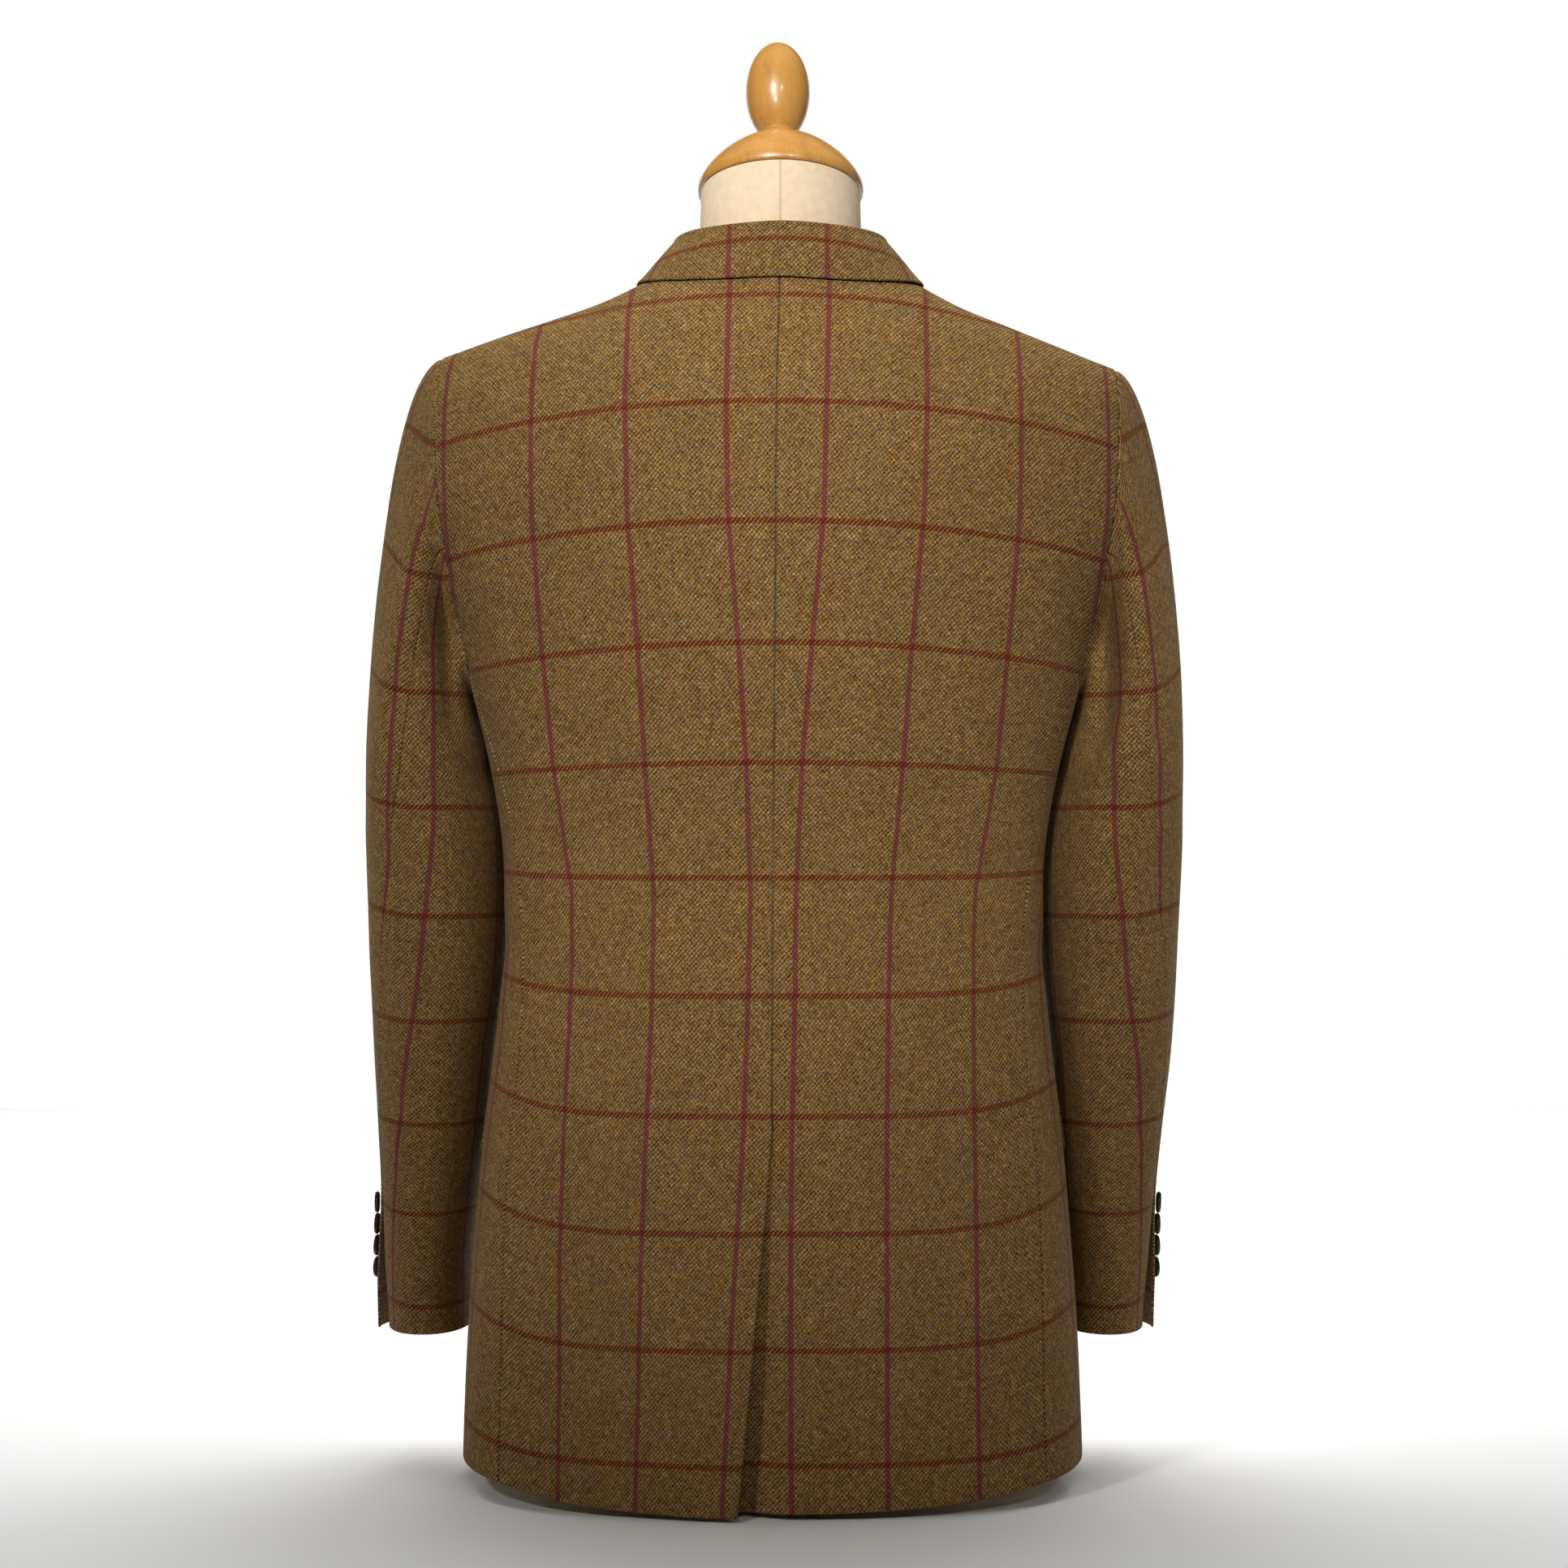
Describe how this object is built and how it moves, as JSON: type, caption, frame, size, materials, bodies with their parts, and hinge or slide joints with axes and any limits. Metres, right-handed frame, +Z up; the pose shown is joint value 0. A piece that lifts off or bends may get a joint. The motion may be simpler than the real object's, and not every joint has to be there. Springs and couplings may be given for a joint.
{
  "type": "tailored jacket on a limbless dress form",
  "caption": "Tailored single-breasted checked wool jacket with notch lapels, centre back vent and flap pockets, resting on a limbless linen dress form with a turned wooden neck cap and knob.",
  "frame": {"origin": "centre of the dress form's flat base, on the floor", "axes": "+Z up along the form, front facing -Y, the wearer's left at +X"},
  "size_m": [0.5403, 0.2572, 0.9515],
  "materials": {
    "wool_tweed": "matte wool twill with a windowpane check",
    "cream_linen": "plain-woven linen",
    "varnished_wood": "clear gloss varnish",
    "dark_horn": "dark semi-gloss horn"
  },
  "bodies": {
    "root": {"back_left": "wool_tweed", "back_right": "wool_tweed", "side_left": "wool_tweed", "side_right": "wool_tweed", "front_left": "wool_tweed", "front_right": "wool_tweed", "lapel_left": "wool_tweed", "lapel_right": "wool_tweed", "collar": "wool_tweed", "sleeve_left_top": "wool_tweed", "sleeve_left_under": "wool_tweed", "sleeve_right_top": "wool_tweed", "sleeve_right_under": "wool_tweed", "pocket_flap_left": "wool_tweed", "pocket_flap_right": "wool_tweed", "cuff_button_left_1": "dark_horn", "cuff_button_left_2": "dark_horn", "cuff_button_left_3": "dark_horn", "cuff_button_left_4": "dark_horn", "cuff_button_right_1": "dark_horn", "cuff_button_right_2": "dark_horn", "cuff_button_right_3": "dark_horn", "cuff_button_right_4": "dark_horn", "front_button_1": "dark_horn", "front_button_2": "dark_horn", "form_body": "cream_linen", "neck_cap": "varnished_wood", "finial": "varnished_wood"}
  },
  "joints": []
}
